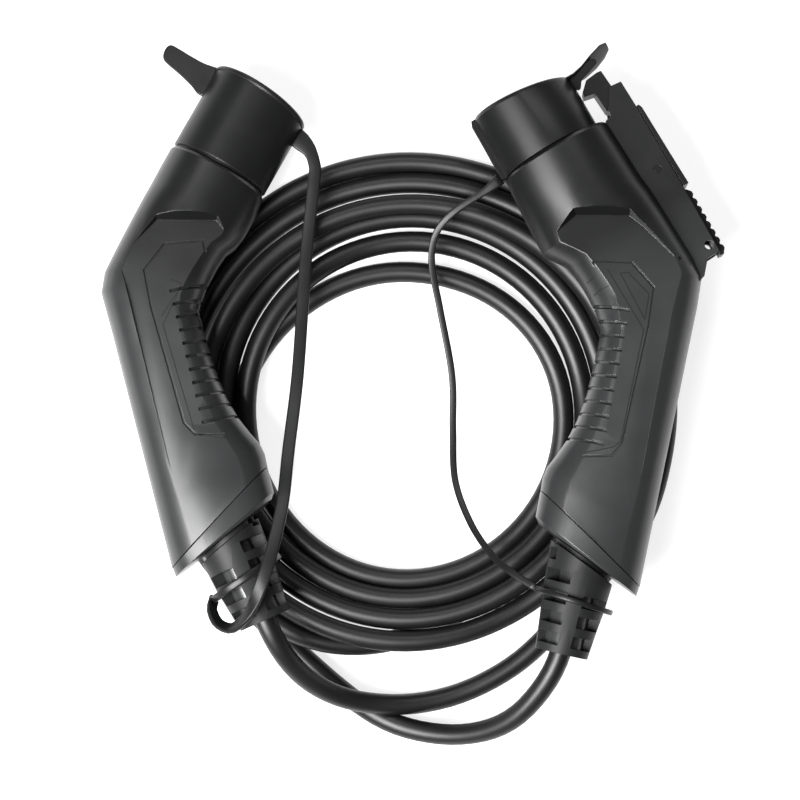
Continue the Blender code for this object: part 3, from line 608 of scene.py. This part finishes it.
def bridge(first, second, steps=72):
    """Two spun surfaces made one, the last ring of the first tied to the next."""
    points = first[0] + second[0]
    start = len(first[0])
    faces = list(first[1])
    for k in range(steps):
        a, b = start - steps + k, start - steps + (k + 1) % steps
        faces.append((a, b, b + steps, a + steps))
    faces += [tuple(i + start for i in face) for face in second[1]]
    return points, faces


def rounded_outline(outline):
    """A closed outline with its corners rounded by a smooth curve through its points."""
    loop = [outline[-1], *outline, outline[0], outline[1]]
    smooth = []
    for i in range(1, len(loop) - 2):
        for t in (0.0, 0.25, 0.5, 0.75):
            weights = (
                (-t + 2 * t**2 - t**3) / 2,
                (2 - 5 * t**2 + 3 * t**3) / 2,
                (t + 4 * t**2 - 3 * t**3) / 2,
                (t**3 - t**2) / 2,
            )
            near = loop[i - 1 : i + 3]
            smooth.append(tuple(sum(w * p[axis] for w, p in zip(weights, near)) for axis in (0, 1)))
    return smooth


def slab(outline, height, thick, edge=0.4):
    """A flat plate with softened edges: its outline drawn at four heights."""
    middle = np.mean(np.array(outline), 0)
    inset = 1 - edge / 8
    low, high = height - thick / 2, height + thick / 2
    points = []
    for z, share in ((low, inset), (low + edge, 1.0), (high - edge, 1.0), (high, inset)):
        for x, y in outline:
            nearer = middle + (np.array((x, y)) - middle) * share
            points.append(Vector((nearer[0], nearer[1], z)))
    size = len(outline)
    faces = [tuple(reversed(range(size))), tuple(range(3 * size, 4 * size))]
    for i in range(3):
        for k in range(size):
            a, b = i * size + k, i * size + (k + 1) % size
            faces.append((a, b, b + size, a + size))
    return points, faces


def ring_band(spec, high, steps=64):
    """The strap's ring round the strain relief: a short round band."""
    points, ups = [], []
    middle = on_handle(spec, *ring_point(spec, 0.0, 0.0))
    across = on_handle(spec, *ring_point(spec, 0.0, 1.0)) - middle
    up = handle_axes(spec)[2]
    for k in range(steps):
        a = 2 * math.pi * k / steps
        away = across * math.cos(a) + up * math.sin(a)
        points.append(middle + away * RING_MIDDLE_R)
        ups.append(away)
    return band(points, ups, [high] * steps, [RING_THICK] * steps, closed=True)


def eased_share(value):
    """A share from 0 to 1 that starts and ends gently."""
    value = min(1.0, max(0.0, value))
    return value * value * (3 - 2 * value)


def root_share(point, start, run):
    """How much of a strap's widening at its cap is left at one of its points."""
    return 1 - eased_share((STRAP_STEP * point - start) / run)


def strap_type1():
    """The thin tether from the sleeve cap's key rib to the ring."""
    spec = SPEC["type1"]
    first = on_handle(spec, *KEY_RIB)
    last = on_handle(spec, *ring_point(spec, 0.0, RING_MIDDLE_R))
    points = [Vector(p) for p in catmull_rom([first, *STRAP_TYPE1, last], STRAP_STEP)]
    root = [root_share(i, 0.0, 11.0) for i in range(len(points))]
    widths = [3.5 + 2.5 * share for share in root]
    thicks = [2.2 + 0.8 * share for share in root]
    line = band(points, [Vector((0, 0, 1))] * len(points), widths, thicks)
    return mesh_object("type1_strap", *join(line, ring_band(spec, 2.6)))


def strap_type2():
    """The flat strap from the disc cap's rim, with its loop, to the ring."""
    spec = SPEC["type2"]
    last = on_handle(spec, *ring_point(spec, 0.0, -RING_MIDDLE_R))
    points = [Vector(p) for p in catmull_rom([DISC_RIM_FOOT, *STRAP_TYPE2, last], STRAP_STEP)]
    count = len(points)
    ups = []
    for i, point in enumerate(points):
        ahead = points[min(count - 1, i + 1)] - points[max(0, i - 1)]
        side = ahead.cross(Vector((0, 0, 1))).normalized()
        roll = math.radians(50.0) * eased_share((-85.0 - point.y) / 20.0)
        ups.append(Vector((0, 0, 1)) * math.cos(roll) + side * math.sin(roll))
    widths = [6.2 + 3.4 * root_share(i, 4.0, 12.0) for i in range(count)]
    line = band(points, ups, widths, [2.4] * count)
    return mesh_object("type2_strap", *join(line, ring_band(spec, 3.6)))


def latch_spring():
    """The latch's compression spring, from the channel's floor to the thumb pad."""
    spec = SPEC["type1"]
    count = 24 * SPRING_TURNS
    points = []
    for k in range(count + 1):
        a = 2 * math.pi * SPRING_TURNS * k / count
        x = SPRING_FROM + (SPRING_TO - SPRING_FROM) * k / count
        y = SPRING_BACK + SPRING_R * math.cos(a)
        points.append(on_handle(spec, x, y, SPRING_R * math.sin(a)))
    ups = [handle_axes(spec)[0]] * len(points)
    sizes = [SPRING_WIRE] * len(points)
    return mesh_object("latch_coil_spring", *band(points, ups, sizes, sizes))


def disc_cap():
    """The Type 2 dust cap: a sleeve, a disc that sits a little askew and a pull tab."""
    spec = SPEC["type2"]
    out, ahead, up = handle_axes(spec)
    yaw, pitch = math.radians(DISC_YAW), math.radians(DISC_PITCH)
    normal = (ahead - out * math.tan(yaw) + up * math.tan(pitch)).normalized()
    foot = on_handle(spec, 0.0, 0.0, DISC_RISE)
    tip = on_handle(spec, 0.0, DISC_AHEAD, DISC_RISE)
    shell = bridge(spun(foot, ahead, up, DISC_SLEEVE), spun(tip, normal, up, DISC_EDGE))
    tab = slab(rounded_outline(PULL_TAB), TAB_HEIGHT, TAB_THICK)
    return mesh_object("type2_cap_rubber", *join(shell, tab))


def leaf_web():
    """The web between the sleeve cap and its leaf."""
    outline = rounded_outline(LEAF_WEB)
    return mesh_object("type1_leaf_web", *slab(outline, WEB_HEIGHT, WEB_THICK))


def surface_of(node):
    """A search tree over a CAD node's faces, in the row's frame."""
    obj = frame["nodes"][node]
    points = [obj.matrix_world @ v.co for v in obj.data.vertices]
    return BVHTree.FromPolygons(points, [list(p.vertices) for p in obj.data.polygons])


def dense_way(way, spacing=0.7):
    """The same way seen from above, with its points close together."""
    dense = []
    for (x0, y0), (x1, y1) in zip(way, way[1:]):
        count = max(2, int(math.hypot(x1 - x0, y1 - y0) / spacing))
        dense += [(x0 + (x1 - x0) * i / count, y0 + (y1 - y0) * i / count) for i in range(count)]
    return [*dense, way[-1]]


def draped(tree, way, width=0.55, rise=0.05, over=200.0, gap=2.0):
    """A thin flat line laid on a surface along a way seen from above."""
    dense = dense_way(way)
    points, faces = [], []
    for i, (x, y) in enumerate(dense):
        before, after = dense[max(i - 1, 0)], dense[min(i + 1, len(dense) - 1)]
        across = Vector((before[1] - after[1], after[0] - before[0])).normalized() * width / 2
        pair = []
        for side in (-1, 1):
            high = to_row((x + across.x * side, y + across.y * side, over))
            hit = tree.ray_cast(high, Vector((0.0, 0.0, -1.0)))[0]
            if hit:
                pair.append(hit / MM - SHIFT + Vector((0.0, 0.0, rise)))
        if len(pair) == 2:
            points += pair
    for i in range(0, len(points) - 3, 2):
        if (points[i] - points[i + 2]).length < gap:
            faces.append((i, i + 1, i + 3, i + 2))
    return points, faces


def painted_engraving_shade():
    """Flat dark strips of painted shade along the grips' engraved lines, and a dark patch of painted
    shade for the small vent beside the latch.
    """
    parts = []
    for node, ways in ENGRAVED.items():
        tree = surface_of(node)
        parts += [draped(tree, way) for way in ways]
        if node.startswith("type1"):
            parts.append(draped(tree, VENT_SHADE_WAY, VENT_SHADE_WIDTH))
    return mesh_object("painted_engraving_shade", *join(*parts))


def sleeve(kind, radius=9.75, size=48):
    """The smooth inner sleeve that shows through the strain relief's windows."""
    spec = SPEC[kind]
    points = []
    for along in (-6.0, spec["boot_end"] - 2.0):
        for k in range(size):
            a = 2 * math.pi * k / size
            points.append(on_boot(spec, along, radius * math.cos(a), radius * math.sin(a)))
    faces = [(k, (k + 1) % size, size + (k + 1) % size, size + k) for k in range(size)]
    return mesh_object(f"{kind}_sleeve", points, faces)


def plastic(name, colour, roughness, grain, depth, spread, edge=0.0, specular=0.5):
    """A moulded plastic or rubber: cloudy colour and gloss, fine grain, softened edges."""
    material = bpy.data.materials.new(name)
    material.use_nodes = True
    tree = material.node_tree
    nodes, links = tree.nodes, tree.links
    shader = nodes["Principled BSDF"]
    shader.inputs["Specular IOR Level"].default_value = specular
    place = nodes.new("ShaderNodeTexCoord")
    cloud = nodes.new("ShaderNodeTexNoise")
    cloud.inputs["Scale"].default_value = 55.0
    cloud.inputs["Detail"].default_value = 4.0
    links.new(place.outputs["Object"], cloud.inputs["Vector"])
    tint = nodes.new("ShaderNodeMixRGB")
    tint.inputs["Color1"].default_value = (*[c * (1 - spread) for c in colour], 1)
    tint.inputs["Color2"].default_value = (*[c * (1 + spread) for c in colour], 1)
    links.new(cloud.outputs["Fac"], tint.inputs["Fac"])
    links.new(tint.outputs["Color"], shader.inputs["Base Color"])
    gloss = nodes.new("ShaderNodeMapRange")
    gloss.inputs["To Min"].default_value = roughness - 0.06
    gloss.inputs["To Max"].default_value = roughness + 0.06
    links.new(cloud.outputs["Fac"], gloss.inputs["Value"])
    links.new(gloss.outputs["Result"], shader.inputs["Roughness"])
    fine = nodes.new("ShaderNodeTexNoise")
    fine.inputs["Scale"].default_value = 1000.0 / grain
    fine.inputs["Detail"].default_value = 2.0
    links.new(place.outputs["Object"], fine.inputs["Vector"])
    bump = nodes.new("ShaderNodeBump")
    bump.inputs["Strength"].default_value = 1.0
    bump.inputs["Distance"].default_value = depth * MM
    links.new(fine.outputs["Fac"], bump.inputs["Height"])
    links.new(bump.outputs["Normal"], shader.inputs["Normal"])
    if edge:
        rounded = nodes.new("ShaderNodeBevel")
        rounded.samples = 4
        rounded.inputs["Radius"].default_value = edge * MM
        links.new(rounded.outputs["Normal"], bump.inputs["Normal"])
    return material


def metal(name, colour, roughness):
    """A bright metal with a faint grain."""
    material = plastic(name, colour, roughness, 0.6, 0.01, 0.1, 0.15)
    material.node_tree.nodes["Principled BSDF"].inputs["Metallic"].default_value = 1.0
    return material


def painted_head_shade(material, spec):
    """Paints shade on the head: the plastic's colour darker ahead of the grip."""
    tree = material.node_tree
    nodes, links = tree.nodes, tree.links
    shader = nodes["Principled BSDF"]
    tint = shader.inputs["Base Color"].links[0].from_socket
    place = nodes.new("ShaderNodeTexCoord")
    along = nodes.new("ShaderNodeVectorMath")
    along.operation = "DOT_PRODUCT"
    ahead = handle_axes(spec)[1]
    along.inputs[1].default_value = ahead
    links.new(place.outputs["Object"], along.inputs[0])
    share = nodes.new("ShaderNodeMapRange")
    start = to_row(on_handle(spec, 0.0, HEAD_SHADE_START)).dot(ahead)
    share.inputs["From Min"].default_value = start
    share.inputs["From Max"].default_value = start + HEAD_SHADE_FADE * MM
    share.inputs["To Min"].default_value = 1.0
    share.inputs["To Max"].default_value = HEAD_SHADE_SHARE
    links.new(along.outputs["Value"], share.inputs["Value"])
    # painted shade: the colour scaled down ahead of the grip
    dim = nodes.new("ShaderNodeVectorMath")
    dim.operation = "SCALE"
    links.new(tint, dim.inputs[0])
    links.new(share.outputs["Result"], dim.inputs["Scale"])
    links.new(dim.outputs["Vector"], shader.inputs["Base Color"])
    return material


def make_materials():
    """Every look by its slot, and a grip look of its own for each connector, with painted shade on
    its head.
    """
    made = {slot: plastic(*look) for slot, look in LOOKS.items()}
    made.update({slot: metal(*look) for slot, look in METALS.items()})
    for kind, spec in SPEC.items():
        # each connector's grip plastic, with painted shade darkening its head
        made[f"housing_plastic_{kind}"] = painted_head_shade(plastic(f"housing_{kind}", *GRIP_LOOK), spec)
    return made


def soft_edges(obj):
    """Keeps sharp edges and smooths the rest."""
    split = obj.modifiers.new("edges", "EDGE_SPLIT")
    split.split_angle = math.radians(SHARP)


def finish_nodes(materials):
    """Smooths each CAD node's facets, keeps its edges and gives it its material."""
    for name, obj in frame["nodes"].items():
        slot = obj.data.materials[0].name.split(".")[0]
        look = materials.get(f"{slot}_{name[:5]}", materials[slot])
        if name == "latch_pivot_pin":
            look = materials["housing_plastic"]
        if "custom_normal" in obj.data.attributes:
            obj.data.attributes.remove(obj.data.attributes["custom_normal"])
        obj.data.polygons.foreach_set("use_smooth", [True] * len(obj.data.polygons))
        weld = obj.modifiers.new("weld", "WELD")
        weld.merge_threshold = WELD_REACH * MM
        soft_edges(obj)
        obj.data.materials[0] = look


def camera():
    """A camera that looks straight down."""
    data = bpy.data.cameras.new("camera")
    data.sensor_width = 36.0
    data.lens = LENS
    data.clip_start = 0.05
    data.clip_end = 20.0
    obj = bpy.data.objects.new("camera", data)
    bpy.context.scene.collection.objects.link(obj)
    obj.location = to_row((0.0, 0.0, CAMERA_HEIGHT))
    bpy.context.scene.camera = obj


def softbox(name, place, width, height, power):
    """A rectangular light that looks at the middle of the layout."""
    data = bpy.data.lights.new(name, "AREA")
    data.shape = "RECTANGLE"
    data.size = width * MM
    data.size_y = height * MM
    data.energy = power
    obj = bpy.data.objects.new(name, data)
    bpy.context.scene.collection.objects.link(obj)
    obj.location = to_row(place)
    way = to_row((0.0, 0.0, 0.0)) - obj.location
    obj.rotation_mode = "QUATERNION"
    obj.rotation_quaternion = way.to_track_quat("-Z", "Y")


def white_floor():
    """A pale floor that glows a little and still takes the shadow."""
    signs = ((-1, -1), (1, -1), (1, 1), (-1, 1))
    corners = [(x * FLOOR_HALF, y * FLOOR_HALF, FLOOR_HEIGHT) for x, y in signs]
    floor = mesh_object("floor", corners, [(0, 1, 2, 3)], False)
    material = plastic("floor", [FLOOR_GREY] * 3, 0.6, 2.0, 0.002, 0.004)
    glow = material.node_tree.nodes["Principled BSDF"].inputs
    glow["Emission Color"].default_value = (1.0, 1.0, 1.0, 1.0)
    glow["Emission Strength"].default_value = FLOOR_GLOW
    floor.data.materials.append(material)


def surround():
    """An even surround, white to the camera and dim as a light."""
    world = bpy.data.worlds.new("surround")
    world.use_nodes = True
    tree = world.node_tree
    background = tree.nodes["Background"]
    background.inputs["Color"].default_value = (1.0, 1.0, 1.0, 1.0)
    path = tree.nodes.new("ShaderNodeLightPath")
    strength = tree.nodes.new("ShaderNodeMapRange")
    strength.inputs["To Min"].default_value = SURROUND
    strength.inputs["To Max"].default_value = 1.0
    tree.links.new(path.outputs["Is Camera Ray"], strength.inputs["Value"])
    tree.links.new(strength.outputs["Result"], background.inputs["Strength"])
    bpy.context.scene.world = world


def studio():
    """The camera's surroundings: a floor, a surround and two softboxes."""
    white_floor()
    surround()
    for box in SOFTBOXES:
        softbox(*box)
    bpy.context.scene.view_settings.view_transform = "Standard"


def add_cable(look):
    """The cable as one cord in place of the solids' coil and tubes."""
    route = cable_route()
    cable = curve_along("charging_cable", route, CABLE_R)
    cable.data.materials.append(look)
    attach(cable, "cable_set")
    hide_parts("cable_coil", "cable_to_type1", "cable_to_type2")


def add_strap(kind, strap, look):
    """A cap's strap in place of the solids' one."""
    strap.data.materials.append(look)
    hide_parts(f"{kind}_cap_strap")
    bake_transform(strap)


def add_sleeve(kind, look):
    """The sleeve inside a strain relief."""
    inner = sleeve(kind)
    inner.data.materials.append(look)
    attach(inner, "cable_set")


def add_cap_rubber(look):
    """The Type 2 cap, and the web on the Type 1 cap."""
    cap = disc_cap()
    for piece, body in ((cap, "type2_cap"), (leaf_web(), "type1_cap")):
        piece.data.materials.append(look)
        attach(piece, body)
        soft_edges(piece)
    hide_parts("type2_dust_cap")


def add_spring(look):
    """The latch's spring, in place of the solids' spring."""
    spring = latch_spring()
    spring.data.materials.append(look)
    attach(spring, "cable_set")
    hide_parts("latch_spring")
    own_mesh(spring)


def add_painted_engraving_shade(look):
    """The painted shade of the engraved lines, as flat strips which lie on the housings."""
    lines = painted_engraving_shade()
    lines.data.materials.append(look)
    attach(lines, "cable_set")


def build():
    """The whole scene round the solids."""
    materials = make_materials()
    camera()
    add_cable(materials["cable_jacket"])
    add_strap("type1", strap_type1(), materials["cap_rubber"])
    add_strap("type2", strap_type2(), materials["cap_rubber"])
    for kind in SPEC:
        add_sleeve(kind, materials["sleeve"])
    add_cap_rubber(materials["cap_rubber"])
    add_spring(materials["steel"])
    # the engraved lines and the vent as strips of painted shade
    add_painted_engraving_shade(materials["groove"])
    finish_nodes(materials)
    studio()


build()
bpy.context.view_layer.update()
